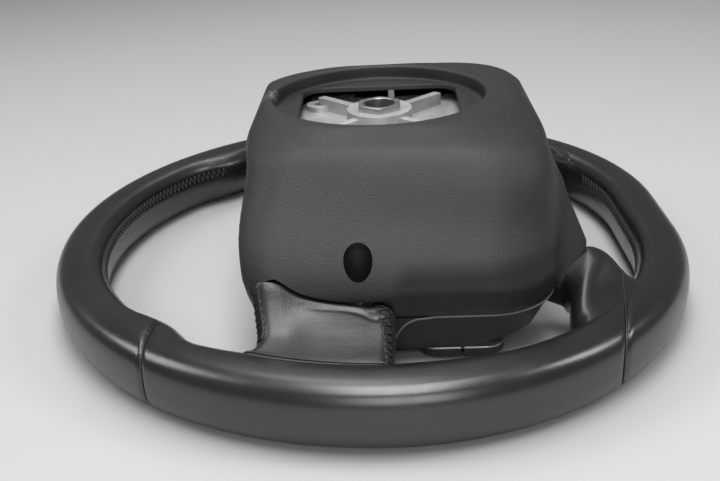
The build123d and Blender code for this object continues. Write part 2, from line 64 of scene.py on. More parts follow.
# Rim: centreline with a flat bottom, section, seams, and how far the inner side swells, by place along Y
RIM_RADIUS = 171.5
RIM_FLAT = 44.0
RIM_LOW_RADIUS = RIM_RADIUS - RIM_FLAT / 2
RIM_WIDTH = 27.0
RIM_DEPTH = 33.5
RIM_Z = RIM_DEPTH / 2 + WHEEL_FRONT
RIM_FULLNESS = 2.9
RIM_BLEND = (-0.2, 0.3)
TOP_SEAM = (-133.0, 108.0)
TOP_SEAM_SLANT = radians(3.2)
LOW_SEAM = (82.0, -118.0)
LOW_SEAM_SLANT = radians(11)
RIM_SWELL = (
    (-85.0, 0.0), (-65.0, 0.3), (-43.0, 3.0), (-16.0, 5.0), (30.0, 5.0), (62.0, 5.5),
    (72.0, 4.0), (84.0, 2.0), (92.0, 0.8), (96.0, 1.3), (104.0, 4.3), (112.0, 7.0),
    (117.0, 7.4), (124.0, 6.0), (132.0, 2.8), (138.0, 1.4), (148.0, 0.9), (160.0, 0.0),
)

# Rear cover: height, half length, twelve and six o'clock edges, and the plan corners there, at each level
COVER_LEVELS = (
    (-71.0, 115.0, 63.5, 84.0, 16.0, 34.0),
    (-66.0, 118.5, 63.8, 85.5, 16.0, 36.0),
    (-57.0, 122.0, 65.4, 86.0, 16.0, 38.0),
    (-50.0, 120.5, 67.2, 86.0, 17.0, 40.0),
    (-25.0, 101.0, 69.3, 86.5, 19.0, 41.0),
    (-7.0, 87.0, 68.8, 84.0, 23.0, 42.0),
    (-2.5, 82.6, 67.6, 82.6, 26.0, 43.0),
    (0.3, 78.3, 66.4, 80.7, 30.0, 46.0),
    (3.2, 69.0, 64.2, 77.5, 37.0, 50.0),
    (6.0, 61.0, 61.0, 73.5, 47.0, 56.0),
)
COVER_FOOT = COVER_LEVELS[0][0]
COVER_WALL = 2.6
LIP_RADIUS = 57.7
LIP_Z = 6.0
RECESS_Z = -2.0
WINDOW_HALF = (41.0, 44.0)
WINDOW_CORNER = 12.0
TOOL_HOLE = (114.6, 11.4)
TOOL_HOLE_SIZE = (5.6, 6.7)

# Lower arms: where the line of one starts, and its direction
ARM_START = (40.0, -32.0)
ARM_ALONG = (0.6018, -0.7986)

# Angles: faces that count as flat, edges that are eased, and edges that stay crisp in the shading
FLAT_ANGLE = radians(1)
SHARP_ANGLE = radians(30)
EASED_ANGLE = radians(20)
CRISP_ANGLE = radians(40)

# Shared helpers

HALVINGS = 30
TUBE_NORMAL = (0.31, 0.52, 0.79)


def smooth_step(low, high, value):
    t = min(1.0, max(0.0, (value - low) / (high - low)))
    return t * t * (3 - 2 * t)


def bump(value, spread):
    return exp(-((value / spread) ** 2))


def signed_power(value, power):
    return copysign(abs(value) ** power, value)


def evenly(first, last, steps):
    """Evenly spaced values from first to last."""
    return [first + (last - first) * i / steps for i in range(steps + 1)]


def turns(count):
    """Evenly spaced directions, once round."""
    return [2 * pi * k / count for k in range(count)]


def last_place(low, high, holds):
    """The last place between two where a test still holds, found by halving."""
    for step in range(HALVINGS):
        middle = (low + high) / 2
        if holds(middle):
            low = middle
        else:
            high = middle
    return low


def joint_slope(a, b):
    """A slope between two others that cannot overshoot."""
    return 2 * a * b / (a + b) if a * b > 0 else 0.0


def curve_through(points, value):
    """Smooth curves through rising (x, y...) rows, without overshoot: their heights at one x."""
    if value <= points[0][0]:
        return points[0][1:]
    for i, (a, b) in enumerate(zip(points, points[1:])):
        if value > b[0]:
            continue
        before, after = points[max(i - 1, 0)], points[min(i + 2, len(points) - 1)]
        span = b[0] - a[0]
        t = (value - a[0]) / span
        out = []
        for k in range(1, len(a)):
            rise = (b[k] - a[k]) / span
            rise_a = rise if before is a else (a[k] - before[k]) / (a[0] - before[0])
            rise_b = rise if after is b else (after[k] - b[k]) / (after[0] - b[0])
            bend = joint_slope(rise, rise_a) * t * (1 - t) ** 2 - joint_slope(rise, rise_b) * t**2 * (1 - t)
            out.append(a[k] + (b[k] - a[k]) * smooth_step(0, 1, t) + span * bend)
        return out
    return points[-1][1:]


def curve_at(points, value):
    """The height of one curve through (x, y) rows."""
    return curve_through(points, value)[0]


def add_object(name, data):
    thing = bpy.data.objects.new(name, data)
    bpy.context.scene.collection.objects.link(thing)
    return thing


def smooth_mesh(mesh):
    mesh.polygons.foreach_set("use_smooth", [True] * len(mesh.polygons))


def fill_mesh(work, mesh):
    """Write a bmesh to a mesh, with all its faces turned outwards."""
    bmesh.ops.recalc_face_normals(work, faces=work.faces)
    work.to_mesh(mesh)
    work.free()


def closed_mesh(name, points, faces):
    """A smooth closed piece from points in millimetres."""
    mesh = bpy.data.meshes.new(name)
    mesh.from_pydata([Vector(p) * MM for p in points], [], faces)
    mesh.validate()
    smooth_mesh(mesh)
    work = bmesh.new()
    work.from_mesh(mesh)
    fill_mesh(work, mesh)
    return add_object(name, mesh)


def grid_faces(rows, columns, closed):
    """Faces between rows of points, each a ring; closed also joins the last row to the first."""
    faces = []
    for i in range(rows if closed else rows - 1):
        here, there = i * columns, (i + 1) % rows * columns
        for j in range(columns):
            k = (j + 1) % columns
            faces.append((here + j, here + k, there + k, there + j))
    return faces


def capped_faces(rows, columns, base=0):
    """Faces between rows of points and over both ends, from a first point on."""
    last = (rows - 1) * columns
    faces = grid_faces(rows, columns, False)
    faces += [tuple(range(columns)), tuple(range(last, last + columns))]
    return [tuple(base + j for j in face) for face in faces]


def lofted(name, rings):
    """A closed skin through rings with equally many points."""
    return closed_mesh(name, [p for ring in rings for p in ring], capped_faces(len(rings), len(rings[0])))


def tubes(name, paths, radius, sides=6):
    """One mesh of round threads or beads along the paths, with closed ends."""
    points = []
    faces = []
    for path in paths:
        base = len(points)
        normal = Vector(TUBE_NORMAL)
        for i, place in enumerate(path):
            along = (path[min(i + 1, len(path) - 1)] - path[max(i - 1, 0)]).normalized()
            normal = (normal - along * normal.dot(along)).normalized()
            other = along.cross(normal)
            for turn in turns(sides):
                points.append(place + (normal * cos(turn) + other * sin(turn)) * radius)
        faces += capped_faces(len(path), sides, base)
    return closed_mesh(name, points, faces)


def soften(node, width, wanted=lambda place: True):
    """A copy of a CAD node with its sharp edges eased, to stand for the node."""
    work = bmesh.new()
    work.from_mesh(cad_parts[node].data)
    bmesh.ops.remove_doubles(work, verts=work.verts, dist=1e-6)
    bmesh.ops.dissolve_limit(work, angle_limit=FLAT_ANGLE, verts=work.verts, edges=work.edges)
    sharp = []
    for edge in work.edges:
        middle = (edge.verts[0].co + edge.verts[1].co) / 2 / MM
        if len(edge.link_faces) == 2 and edge.calc_face_angle() > SHARP_ANGLE and wanted(middle):
            sharp.append(edge)
    rounding = {"segments": 2, "profile": 0.5, "affect": "EDGES", "clamp_overlap": True}
    bmesh.ops.bevel(work, geom=sharp, offset=width * MM, **rounding)
    mesh = bpy.data.meshes.new(f"{node}_eased")
    fill_mesh(work, mesh)
    smooth_mesh(mesh)
    mesh.set_sharp_from_angle(angle=EASED_ANGLE)
    piece = add_object(f"{node}_eased", mesh)
    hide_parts(node)
    return piece


def dress(piece, material, body):
    piece.data.materials.clear()
    piece.data.materials.append(material)
    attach(piece, body)


def dress_soft(piece, material):
    dress(piece, material, "wheel")


# Camera


def add_camera():
    data = bpy.data.cameras.new("photo_camera")
    data.sensor_width = SENSOR_WIDTH
    data.lens = SENSOR_WIDTH * FOCAL_PIXELS / PHOTO_WIDTH
    data.clip_start = CLIP_START
    camera = add_object("photo_camera", data)
    heading = Matrix.Rotation(-pi / 2 - CAMERA_YAW, 4, "Z")
    tilt = Matrix.Rotation(pi / 2 - CAMERA_PITCH, 4, "X")
    roll = Matrix.Rotation(CAMERA_ROLL, 4, "Z")
    camera.matrix_world = Matrix.Translation(CAMERA_PLACE) @ heading @ tilt @ roll
    bpy.context.scene.camera = camera


add_camera()


# Materials. A mark is (place, radius) in millimetres, a noise is (scale, detail, roughness, stretch).

LEATHER_SCUFFS = (((-179, -75, -68), 11), ((-181, -48, -68), 6))
COVER_CHIPS = (((4, 58.2, 6), 10), ((-1.4, -81.1, 3), 4))
# A near-black spot on the cover: painted shade of a small pin hole
COVER_PIN_HOLE_SHADE = ((2.4, -62.5, 5.5), 1.4)
MARK_CORE = 0.4
BRUSHED = (300, 3, 0.5, (1, 0.1, 1))
TURNED = (120, 3, 0.5, (1, 1, 14))
TWISTED = (2600, 2, 0.5, (1, 1, 0.4))
STAINED = (40, 5, 0.65)


class Shader:
    """A small helper that wires one principled material."""

    def __init__(self, name):
        self.material = bpy.data.materials.new(name)
        self.material.use_nodes = True
        self.tree = self.material.node_tree
        self.bsdf = self.tree.nodes["Principled BSDF"]
        self.place = self.add("ShaderNodeTexCoord").outputs["Object"]

    def feed(self, socket, value):
        """Give a socket a number, a colour (tuple), a vector (list) or another node's output."""
        if isinstance(value, tuple):
            socket.default_value = (*value, 1)
        elif isinstance(value, (int, float, list)):
            socket.default_value = value
        else:
            self.tree.links.new(value, socket)

    def add(self, kind, inputs=None, **settings):
        node = self.tree.nodes.new(kind)
        for key, value in settings.items():
            setattr(node, key, value)
        for key, value in (inputs or {}).items():
            self.feed(node.inputs[key], value)
        return node

    def noise(self, scale, detail=3, rough=0.5, stretch=(1, 1, 1)):
        place = self.add("ShaderNodeMapping", {"Vector": self.place, "Scale": list(stretch)}).outputs[0]
        inputs = {"Vector": place, "Scale": scale, "Detail": detail, "Roughness": rough}
        return self.add("ShaderNodeTexNoise", inputs).outputs["Fac"]

    def cells(self, scale, feature):
        inputs = {"Vector": self.place, "Scale": scale}
        return self.add("ShaderNodeTexVoronoi", inputs, feature=feature).outputs["Distance"]

    def ramp(self, source, *stops):
        node = self.add("ShaderNodeValToRGB", {"Fac": source})
        elements = node.color_ramp.elements
        while len(elements) < len(stops):
            elements.new(0.5)
        for element, (place, level) in zip(elements, stops):
            element.position = place
            element.color = (level, level, level, 1)
        return node.outputs["Color"]

    def math(self, operation, a, b):
        return self.add("ShaderNodeMath", {0: a, 1: b}, operation=operation).outputs["Value"]

    def mix(self, share, a, b):
        """A blend of two colours."""
        return self.add("ShaderNodeMix", {0: share, 6: a, 7: b}, data_type="RGBA").outputs[2]

    def spot(self, place, radius):
        """A soft round patch about a place."""
        inputs = {0: self.place, 1: [v * MM for v in place]}
        apart = self.add("ShaderNodeVectorMath", inputs, operation="DISTANCE").outputs["Value"]
        inputs = {"Value": apart, "From Min": radius * MM, "From Max": radius * MM * MARK_CORE}
        return self.add("ShaderNodeMapRange", inputs).outputs["Result"]

    def marks(self, pattern, first, second, strength):
        """A pattern that shows only in two soft patches."""
        patches = self.math("ADD", self.spot(*first), self.spot(*second))
        return self.math("MULTIPLY", pattern, self.math("MULTIPLY", patches, strength))

    def set(self, **values):
        for key, value in values.items():
            self.feed(self.bsdf.inputs[key.replace("_", " ")], value)

    def bumps(self, *layers):
        """Stack height fields, each (height, strength, distance in metres)."""
        inputs = {}
        for height, strength, distance in layers:
            inputs.update(Height=height, Strength=strength, Distance=distance)
            inputs["Normal"] = self.add("ShaderNodeBump", inputs).outputs["Normal"]
            self.set(Normal=inputs["Normal"])


def leather_material():
    s = Shader("black_leather")
    patches = s.noise(14, 4)
    wear = s.ramp(s.noise(60, 5, 0.6), (0.45, 0.0), (0.75, 1.0))
    streaks = s.ramp(s.noise(90, 3, 0.55, (0.5, 1.0, 3.0)), (0.56, 0.0), (0.66, 1.0))
    base = s.mix(patches, (0.007, 0.007, 0.008), (0.013, 0.013, 0.014))
    rough = s.ramp(patches, (0.3, 0.24), (0.7, 0.30))
    s.set(
        Base_Color=s.mix(s.marks(streaks, *LEATHER_SCUFFS, 0.7), base, (0.12, 0.12, 0.12)),
        Roughness=s.math("ADD", rough, s.math("MULTIPLY", wear, 0.06)),
        Specular_IOR_Level=1.0,
    )
    s.bumps((s.cells(1100, "DISTANCE_TO_EDGE"), 0.10, 0.0002), (s.noise(220), 0.06, 0.0004))
    return s.material


def spoke_leather_material():
    s = Shader("spoke_leather")
    creases = s.ramp(s.noise(60, 4, 0.6, (1.3, 0.5, 1.0)), (0.35, 0.0), (0.5, 1.0), (0.65, 0.4))
    s.set(
        Base_Color=s.mix(s.noise(20, 4), (0.010, 0.010, 0.011), (0.020, 0.020, 0.021)),
        Roughness=s.ramp(s.noise(70, 4), (0.3, 0.32), (0.75, 0.42)),
        Specular_IOR_Level=0.7,
    )
    s.bumps((creases, 0.08, 0.0010), (s.cells(900, "DISTANCE_TO_EDGE"), 0.36, 0.0003))
    return s.material


def grained_plastic_material():
    s = Shader("grained_plastic")
    chips = s.ramp(s.noise(500, 3, 0.6), (0.48, 0.0), (0.56, 1.0))
    base = s.mix(s.noise(9, 4), (0.015, 0.015, 0.016), (0.021, 0.021, 0.022))
    base = s.mix(s.marks(chips, *COVER_CHIPS, 0.55), base, (0.30, 0.30, 0.30))
    s.set(
        # painted shade: the pin hole's spot is near black
        Base_Color=s.mix(s.spot(*COVER_PIN_HOLE_SHADE), base, (0.002, 0.002, 0.002)),
        Roughness=s.ramp(s.noise(40, 4), (0.3, 0.47), (0.75, 0.54)),
        Specular_IOR_Level=0.5,
    )
    s.bumps((s.cells(1450, "F1"), 0.52, 0.0003))
    return s.material


def cloth_material():
    s = Shader("cushion_fabric")
    threads = s.math("MULTIPLY", s.noise(900, 1, 0.5, (1, 9, 1)), s.noise(900, 1, 0.5, (9, 1, 1)))
    s.set(Base_Color=s.mix(threads, (0.46, 0.46, 0.43), (0.62, 0.62, 0.58)), Roughness=0.85)
    s.bumps((threads, 0.4, 0.0004))
    return s.material


def plain_material(name, low, high, tone, sheen, rough, *bumps, metal=0.0, specular=0.5):
    """Two colours and two roughnesses, each pair blended by a noise, and noises as bumps."""
    s = Shader(name)
    s.set(
        Base_Color=s.mix(s.noise(*tone), low, high),
        Roughness=s.ramp(s.noise(*sheen), (0.3, rough[0]), (0.8, rough[1])),
        Metallic=metal,
        Specular_IOR_Level=specular,
    )
    s.bumps(*((s.noise(*height), strength, distance) for height, strength, distance in bumps))
    return s.material


def matt_material(name, low, high, rough, scale):
    relief = ((scale * 8,), 0.12, 0.0003)
    return plain_material(name, low, high, (scale,), (scale,), (rough, rough), relief)


def thread_material(name, low, high):
    return plain_material(name, low, high, TWISTED, TWISTED, (0.55, 0.55), (TWISTED, 0.5, 0.0002))


def satin_material(name, low, high, lines, rough, metal):
    return plain_material(name, low, high, lines, lines, rough, metal=metal)


LEATHER = leather_material()
SPOKE_LEATHER = spoke_leather_material()
GRAINED = grained_plastic_material()
CLOTH = cloth_material()
SMOOTH = plain_material(
    "smooth_plastic", (0.010, 0.010, 0.011), (0.016, 0.016, 0.017),
    (30,), (120, 4), (0.34, 0.44), ((1400, 2), 0.06, 0.0001), specular=0.4,
)
KEY = plain_material(
    "key_plastic", (0.014, 0.014, 0.015), (0.022, 0.022, 0.023),
    (60,), (200,), (0.28, 0.38), ((1500, 2), 0.05, 0.0001),
)
CAST = plain_material(
    "cast_metal", (0.34, 0.34, 0.335), (0.62, 0.62, 0.61),
    STAINED, (160, 4), (0.42, 0.62), ((700,), 0.35, 0.0004), (STAINED, 0.15, 0.001), metal=0.6,
)
STEEL = satin_material("steel", (0.42, 0.42, 0.42), (0.60, 0.60, 0.60), TURNED, (0.28, 0.42), 1.0)
# The bead's light grey is a painted highlight on the black edge of the bezel
PAINTED_HIGHLIGHT_BEAD = satin_material("bezel_highlight_bead", (0.14, 0.14, 0.14), (0.20, 0.20, 0.20), BRUSHED, (0.30, 0.40), 0.0)
TRIM = satin_material("key_trim", (0.55, 0.55, 0.54), (0.70, 0.70, 0.69), BRUSHED, (0.26, 0.36), 0.9)
INNER = matt_material("inner_plastic", (0.035, 0.035, 0.036), (0.06, 0.06, 0.06), 0.55, 60)
BOARD = matt_material("board_green", (0.010, 0.06, 0.025), (0.02, 0.10, 0.045), 0.35, 90)
RUBBER = matt_material("dome_rubber", (0.24, 0.24, 0.24), (0.34, 0.34, 0.33), 0.6, 120)
THREAD = thread_material("thread", (0.020, 0.020, 0.021), (0.060, 0.060, 0.061))
LACE = thread_material("lace", (0.006, 0.006, 0.006), (0.020, 0.020, 0.020))

STEEL_NODES = ("cover_screws", "release_springs", "airbag_housing", "inflator", "guide_pins")
NODE_MATERIALS = dict.fromkeys(STEEL_NODES, STEEL)
NODE_MATERIALS["cushion_pack"] = CLOTH
for side_name, side in SIDES:
    NODE_MATERIALS[f"switch_housing_{side_name}"] = INNER
    NODE_MATERIALS[f"switch_board_{side_name}"] = BOARD
for node_name, material in NODE_MATERIALS.items():
    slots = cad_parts[node_name].data.materials
    slots.clear()
    slots.append(material)


# Rim

RIM_HALF = pi * RIM_RADIUS / 2
RIM_QUARTER = pi * RIM_LOW_RADIUS / 2
RIM_LENGTH = 2 * (RIM_HALF + RIM_QUARTER) + RIM_FLAT
RIM_STEP = 1.1
RIM_TURNS = 72
SEAM_TUCK = 0.9
SEAM_WIDTH = 1.0
LEAST_TUCK = 0.01
LOW_SEAM_REACH = 50.0
STITCH_TURN = radians(162)
STITCH_GROOVE = radians(5)
STITCH_SINK = 0.6

# Where the rim's inner side is not sewn: ranges to the side and towards twelve o'clock
UNSEWN = ((130, 200, -10, 66), (105, 200, 95, 122), (72, 142, -140, -80))


def rim_row(s):
    """The rim's centreline and its outward direction, at a distance from twelve o'clock."""
    s %= RIM_LENGTH
    mirror = 1
    if s > RIM_LENGTH / 2:
        s = RIM_LENGTH - s
        mirror = -1
    radius = RIM_RADIUS if s < RIM_HALF else RIM_LOW_RADIUS
    turn = s / RIM_RADIUS
    centre_x = 0.0
    if s >= RIM_HALF:
        turn = min(pi, pi / 2 + (s - RIM_HALF) / RIM_LOW_RADIUS)
        centre_x = RIM_FLAT / 2 - max(0.0, s - RIM_HALF - RIM_QUARTER)
    nx, ny = sin(turn), cos(turn)
    return mirror * (centre_x + radius * nx), radius * ny, mirror * nx, ny


def rim_middle(point):
    """The nearest point of the rim's centreline."""
    x, y = point.x, point.y
    half, radius = (RIM_FLAT / 2, RIM_LOW_RADIUS) if y < 0 else (0.0, RIM_RADIUS)
    centre_x = min(half, max(-half, x))
    scale = radius / hypot(x - centre_x, y)
    return Vector((centre_x + (x - centre_x) * scale, y * scale, RIM_Z))


def stitched(x, y):
    return not any(x0 < abs(x) < x1 and y0 < y < y1 for x0, x1, y0, y1 in UNSEWN)


def rim_point(row, turn, lift=0.0):
    """A point of the rim's skin: turn 0 is the outer side, a quarter turn the rear."""
    x, y, nx, ny = row
    c, s = cos(turn), sin(turn)
    wide = c + (signed_power(c, 2 / RIM_FULLNESS) - c) * smooth_step(*RIM_BLEND, s)
    high = signed_power(s, 2 / RIM_FULLNESS) if s > 0 else s
    half = RIM_WIDTH / 2 + (curve_at(RIM_SWELL, y) if c < 0 else 0.0)
    sink = STITCH_SINK * bump(turn - STITCH_TURN, STITCH_GROOVE) if stitched(x, y) else 0.0
    out = half * wide + (lift - sink) * c
    return Vector((x + nx * out, y + ny * out, RIM_Z + RIM_DEPTH / 2 * high + (lift - sink) * s))


def seam_plane(place, slant, side, way):
    """Point and normal of a seam's plane; the normal points out of the side panels."""
    normal = Vector((sin(slant) * side, cos(slant) * way, 0))
    return Vector((place[0] * side, place[1], 0)), normal


SEAMS = {name: seam_plane(LOW_SEAM, LOW_SEAM_SLANT, side, -1) for name, side in SIDES}
SEAMS["top"] = seam_plane(TOP_SEAM, TOP_SEAM_SLANT, 1, 1)


def seam_distance(point, key):
    origin, normal = SEAMS[key]
    return (point - origin).dot(normal)


def side_of(x):
    return "left" if x > 0 else "right"


def seam_gap(point):
    """Distance to the seam in that part of the wheel."""
    low = point.y < 0 and abs(point.x) > LOW_SEAM_REACH
    return abs(seam_distance(point, side_of(point.x) if low else "top"))


def in_side_panel(point, side):
    below_top = point.x * side >= 0 and seam_distance(point, "top") <= 0
    return below_top and seam_distance(point, side_of(side)) < 0


def rim_panel(name, belongs, planes):
    """One sewn panel of the rim, cut by its seam planes, with edges that roll in at the seams."""
    rows = [rim_row(s) for s in evenly(0.0, RIM_LENGTH, int(RIM_LENGTH / RIM_STEP))[:-1]]
    work = bmesh.new()
    verts = [work.verts.new(rim_point(row, turn)) for row in rows for turn in turns(RIM_TURNS)]
    for face in grid_faces(len(rows), RIM_TURNS, True):
        work.faces.new([verts[i] for i in face])
    for key in planes:
        origin, normal = SEAMS[key]
        parts = list(work.verts) + list(work.edges) + list(work.faces)
        bmesh.ops.bisect_plane(work, geom=parts, dist=1e-5, plane_co=origin, plane_no=normal)
    gone = [f for f in work.faces if not belongs(f.calc_center_median())]
    bmesh.ops.delete(work, geom=gone, context="FACES")
    loose = [v for v in work.verts if not v.link_faces]
    bmesh.ops.delete(work, geom=loose, context="VERTS")
    for vert in work.verts:
        tuck = SEAM_TUCK * bump(seam_gap(vert.co), SEAM_WIDTH)
        if tuck > LEAST_TUCK:
            vert.co += (rim_middle(vert.co) - vert.co).normalized() * tuck
    edges = [e for e in work.edges if e.is_boundary]
    bmesh.ops.holes_fill(work, edges=edges, sides=0)
    for vert in work.verts:
        vert.co *= MM
    mesh = bpy.data.meshes.new(name)
    fill_mesh(work, mesh)
    mesh.polygons.foreach_set("use_smooth", [len(p.vertices) < 5 for p in mesh.polygons])
    return add_object(name, mesh)


panels = {
    "leather_top": (["top"], lambda p: seam_distance(p, "top") > 0),
    "leather_bottom": (
        ["right", "left"],
        lambda p: p.y < 0 and not in_side_panel(p, -1) and not in_side_panel(p, 1),
    ),
}
for side_name, side in SIDES:
    panels[f"leather_{side_name}"] = (["top", side_name], lambda p, s=side: in_side_panel(p, s))
for node_name, (planes, belongs) in panels.items():
    piece = rim_panel(f"{node_name}_panel", belongs, planes)
    dress_soft(piece, LEATHER)
    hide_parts(node_name)


# Stitching round the inner side of the rim, and the cords in its seams

STITCH_SWING = radians(8.8)
STITCH_PITCH = 4.0
STITCH_STEPS = 5
STITCH_LIFT = 0.22
STITCH_CLEARANCE = 3.0
LEAST_RUN = 6
THREAD_RADIUS = 0.38
CORD_STEPS = 96
CORD_LIFT = -0.55
CORD_RADIUS = 0.5
TOP_SEAM_SEARCH = (0.2, 0.5)
LOW_SEAM_SEARCH = (0.5, 0.95)


def stitch_runs():
    """Zigzag threads in the runs between spokes and seams."""
    runs = []
    run = []
    count = int(RIM_LENGTH / STITCH_PITCH)
    for i in range(count * 2 * STITCH_STEPS):
        place = i / STITCH_STEPS
        stroke = int(place)
        share = place - stroke
        swing = (1 - 2 * share) * (1 if stroke % 2 else -1)
        row = rim_row(place * RIM_LENGTH / (2 * count))
        point = rim_point(row, STITCH_TURN + STITCH_SWING * swing, STITCH_LIFT)
        if stitched(row[0], row[1]) and seam_gap(point) > STITCH_CLEARANCE:
            run.append(point)
        elif run:
            runs.append(run)
            run = []
    runs.append(run)
    return [run for run in runs if len(run) > LEAST_RUN]


def seam_cord(side, key):
    """The sewn edge that shows in a seam, once round the rim's section."""
    on_top = key == "top"
    first, last = [2 * RIM_HALF * v for v in (TOP_SEAM_SEARCH if on_top else LOW_SEAM_SEARCH)]
    path = []
    for turn in evenly(0.0, 2 * pi, CORD_STEPS):

        def before_seam(s):
            return (seam_distance(rim_point(rim_row(s * side), turn), key) > 0) == on_top

        path.append(rim_point(rim_row(last_place(first, last, before_seam) * side), turn, CORD_LIFT))
    return path


dress_soft(tubes("rim_stitching", stitch_runs(), THREAD_RADIUS), THREAD)
cords = [seam_cord(side, key) for side_name, side in SIDES for key in ("top", side_name)]
dress_soft(tubes("rim_seams", cords, CORD_RADIUS), SPOKE_LEATHER)


# Leather spokes at three and nine o'clock. Along is 0 at the cover and 1 on the rim.

SPOKE_SPAN = (-0.1, 1.0)
SPOKE_RINGS = 70
SPOKE_ROOT_X = 119.0
SPOKE_ROOT_Z = -60.0
SPOKE_END_RADIUS = 168.0
SPOKE_LENGTH = 45.0
SPOKE_BOTTOM_Z = -90.0
SPOKE_EDGE = 6.0
SPOKE_QUARTER = SPOKE_EDGE * pi / 2
FLANK_STEPS = 5
EDGE_STEPS = 8
TOP_STEPS = 48

# Height of the leather along the spoke, its rise at the cover, and how that rise fades along
SPOKE_BASE = (
    (0.0, -59.6), (0.15, -61.2), (0.3, -63.4), (0.5, -66.0),
    (0.65, -67.0), (0.8, -67.4), (0.88, -67.9), (1.0, -67.4),
)
SPOKE_ROOT = (
    (-4.0, -62.0), (7.0, -62.2), (11.0, -61.3), (20.0, -59.9), (29.0, -58.0),
    (38.0, -55.1), (43.0, -52.7), (47.0, -50.2), (51.5, -48.6), (60.0, -47.6),
)
SPOKE_FADE = ((0.0, 1.0), (0.12, 0.62), (0.25, 0.35), (0.45, 0.12), (0.7, 0.0))

# Its upper and lower edges, as places towards twelve o'clock
SPOKE_HIGH = (
    (0.0, 60.0), (0.2, 58.4), (0.42, 57.0), (0.52, 57.6), (0.62, 59.6),
    (0.72, 63.0), (0.82, 67.0), (0.9, 70.0), (1.0, 73.0),
)
SPOKE_LOW = ((0.0, -4.2), (0.3, -4.2), (0.5, -3.6), (0.7, -3.0), (0.8, -3.2), (0.9, -6.0), (1.0, -10.0))

# Folds in the leather: height or depth, place along, and spread
SPOKE_ROLL = (0.8, 0.07, 0.05)
SPOKE_TUCK = (0.9, 0.86, 0.03)
CREASE_DEPTH = 0.5
CREASE_SPREAD = 0.03
CREASE_FADE = (44.0, 30.0)
CREASE_LINE = ((5.0, 0.22), (12.0, 0.14), (20.0, 0.11), (35.0, 0.12), (45.0, 0.16), (55.0, 0.17))
HOLLOW_DEPTH = 1.2
HOLLOW_PLACE = (44.0, 0.42)
HOLLOW_SPREAD = 9.0
FOLD_RADIUS = 159.3
FOLD_Y = (-2.0, 66.0)
FOLD_STEPS = 80
FOLD_LIFT = 0.1

# Lacing over the two rolled edges: how far in it reaches, and where it starts and ends along
LACE_INNER = {
    "low": ((0.0, 8.4), (0.2, 6.5), (0.4, 4.5), (0.65, 3.0), (0.8, 2.5)),
    "high": ((0.0, 2.2), (0.4, 2.6), (0.8, 1.6)),
}
LACE_SPANS = {"low": (0.03, 0.80), "high": (0.03, 0.50)}
LACE_CELLS = 8
LACE_STEPS = 8
LACE_FOOT = 1.2
LACE_LIFT = 0.25
LACE_PULLS = ((0.0, -0.05), (1.0, 0.05))
HEM_LIFT = 0.1


def spoke_x(u, y):
    return SPOKE_ROOT_X + u * (sqrt(SPOKE_END_RADIUS**2 - y * y) - SPOKE_ROOT_X)


def fold_height(u, height, place, spread):
    return height * bump(u - place, spread)


def spoke_top(u, y):
    """Height of the spoke's leather before its edges roll over."""
    z = curve_at(SPOKE_BASE, u) + (curve_at(SPOKE_ROOT, y) - SPOKE_ROOT_Z) * curve_at(SPOKE_FADE, u)
    z += fold_height(u, *SPOKE_ROLL) - fold_height(u, *SPOKE_TUCK)
    z -= fold_height(u, CREASE_DEPTH, curve_at(CREASE_LINE, y), CREASE_SPREAD) * smooth_step(*CREASE_FADE, y)
    apart = hypot(y - HOLLOW_PLACE[0], (u - HOLLOW_PLACE[1]) * SPOKE_LENGTH)
    return z - HOLLOW_DEPTH * bump(apart, HOLLOW_SPREAD)


def spoke_skin(side, u, edge, reach, lift=0.0):
    """A point by its way over the rolled edge and on to the top; below zero is down the flank."""
    limit = curve_at(SPOKE_LOW if edge == "low" else SPOKE_HIGH, u)
    inward = 1 if edge == "low" else -1
    turn = min(pi / 2, max(0.0, reach / SPOKE_EDGE))
    y = limit + inward * (SPOKE_EDGE * (1 - cos(turn)) + max(0.0, reach - SPOKE_QUARTER))
    z = spoke_top(u, y) - SPOKE_EDGE * (1 - sin(turn)) + min(0.0, reach)
    x = spoke_x(u, y)
    return Vector((side * x, y - inward * lift * cos(turn), z + lift * sin(turn)))


def edge_reach(inset):
    """The way over the rolled edge to a line that far in from the flank."""
    if inset >= SPOKE_EDGE:
        return inset - SPOKE_EDGE + SPOKE_QUARTER
    return SPOKE_EDGE * acos(1 - max(0.0, inset) / SPOKE_EDGE)


def spoke_half(side, u, edge):
    """Points up a flank and over its rolled edge."""
    x, y, top = spoke_skin(side, u, edge, 0)
    flank = [Vector((x, y, z)) for z in evenly(SPOKE_BOTTOM_Z, top, FLANK_STEPS)[:-1]]
    return flank + [spoke_skin(side, u, edge, reach) for reach in evenly(0.0, SPOKE_QUARTER, EDGE_STEPS)[:-1]]


def spoke_section(side, u):
    """Points once over the spoke: up one flank, across the top and down the other."""
    flat = curve_at(SPOKE_HIGH, u) - curve_at(SPOKE_LOW, u) - 2 * SPOKE_EDGE
    across = evenly(SPOKE_QUARTER, SPOKE_QUARTER + flat, TOP_STEPS)
    top = [spoke_skin(side, u, "low", reach) for reach in across]
    return spoke_half(side, u, "low") + top + spoke_half(side, u, "high")[::-1]


def lace_point(side, edge, place, across, lift):
    """A point of the lacing: across is 0 at its outer line and 1 at its inner line."""
    first, last = LACE_SPANS[edge]
    u = first + (last - first) * place
    width = edge_reach(curve_at(LACE_INNER[edge], u)) + LACE_FOOT
    return spoke_skin(side, u, edge, width * across - LACE_FOOT, lift)


def lace_threads(side, edge):
    """Crossed threads, one pair to a cell."""
    shares = evenly(0.0, 1.0, LACE_STEPS)
    threads = []
    for cell in range(LACE_CELLS):
        places = [(cell + share) / LACE_CELLS for share in shares]
        for lift, across in ((2 * LACE_LIFT, shares), (LACE_LIFT, shares[::-1])):
            threads.append([lace_point(side, edge, *at, lift) for at in zip(places, across)])
    return threads


